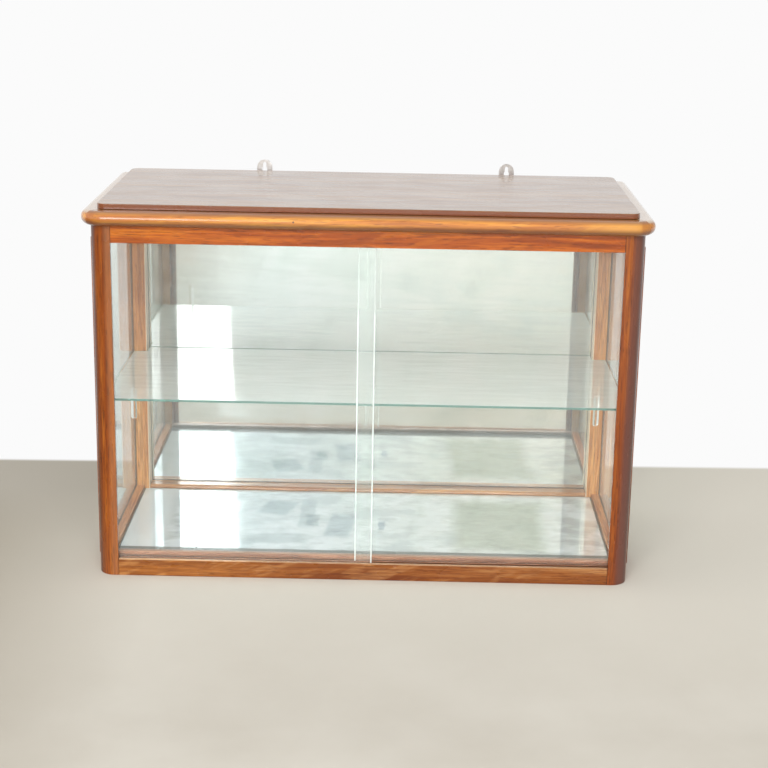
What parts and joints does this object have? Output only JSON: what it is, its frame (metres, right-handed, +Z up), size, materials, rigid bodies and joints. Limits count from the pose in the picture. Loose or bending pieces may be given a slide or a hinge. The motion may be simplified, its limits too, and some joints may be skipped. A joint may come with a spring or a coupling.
{
  "type": "wall display cabinet",
  "caption": "Wall display cabinet in varnished hardwood with sliding glass doors, glass sides, a mirror back and floor, a loose glass shelf and hanging plates.",
  "frame": {"origin": "centre of the bounding box at its lowest level, under the middle of the cabinet, on the plane of its underside", "axes": "+X to the right as the doors are seen from the front, +Y towards the wall behind the cabinet, +Z up"},
  "size_m": [0.944, 0.432, 0.665],
  "materials": {
    "mahogany": "red-brown mahogany under gloss varnish",
    "moulding": "golden brown mahogany under gloss varnish",
    "cap": "dark mahogany under worn gloss varnish",
    "track": "planed wood, waxed",
    "backing": "plain unfinished board",
    "glass": "clear float glass with green edges",
    "mirror": "silvered glass, a little clouded",
    "steel": "dull zinc-plated steel"
  },
  "bodies": {
    "cabinet": {"back_board": "backing", "back_mirror": "mirror", "back_screw_1": "steel", "back_screw_2": "steel", "back_screw_3": "steel", "back_screw_4": "steel", "back_screw_5": "steel", "back_screw_6": "steel", "base_board": "backing", "base_screw_left_1": "steel", "base_screw_left_2": "steel", "base_screw_right_1": "steel", "base_screw_right_2": "steel", "door_track_low": "track", "door_track_top": "track", "floor_mirror": "mirror", "glazing_bead_left_front": "mahogany", "glazing_bead_left_low": "mahogany", "glazing_bead_left_rear": "mahogany", "glazing_bead_left_top": "mahogany", "glazing_bead_right_front": "mahogany", "glazing_bead_right_low": "mahogany", "glazing_bead_right_rear": "mahogany", "glazing_bead_right_top": "mahogany", "hanging_plate_left": "steel", "hanging_plate_right": "steel", "plate_screw_1": "steel", "plate_screw_2": "steel", "plate_screw_3": "steel", "plate_screw_4": "steel", "post_front_left": "mahogany", "post_front_right": "mahogany", "post_rear_left": "mahogany", "post_rear_right": "mahogany", "rail_front_low": "mahogany", "rail_front_top": "mahogany", "rail_left_low": "mahogany", "rail_left_top": "mahogany", "rail_rear_low": "mahogany", "rail_rear_top": "mahogany", "rail_right_low": "mahogany", "rail_right_top": "mahogany", "shelf_stud_front_left": "steel", "shelf_stud_front_right": "steel", "shelf_stud_rear_left": "steel", "shelf_stud_rear_right": "steel", "side_pane_left": "glass", "side_pane_right": "glass", "top_board": "cap", "top_core": "mahogany", "top_moulding_front": "moulding", "top_moulding_left": "moulding", "top_moulding_right": "moulding"},
    "left_door": {"door_glass_left": "glass"},
    "right_door": {"door_glass_right": "glass"},
    "shelf": {"shelf_glass": "glass"}
  },
  "joints": [
    {"name": "left_door_slide", "type": "slide", "parent": "cabinet", "child": "left_door", "axis": [1, 0, 0], "range_m": [0, 0.416]},
    {"name": "right_door_slide", "type": "slide", "parent": "cabinet", "child": "right_door", "axis": [1, 0, 0], "range_m": [-0.416, 0]},
    {"name": "shelf_lift", "type": "slide", "parent": "cabinet", "child": "shelf", "axis": [0, 0, 1], "range_m": [0, 0.06]}
  ]
}
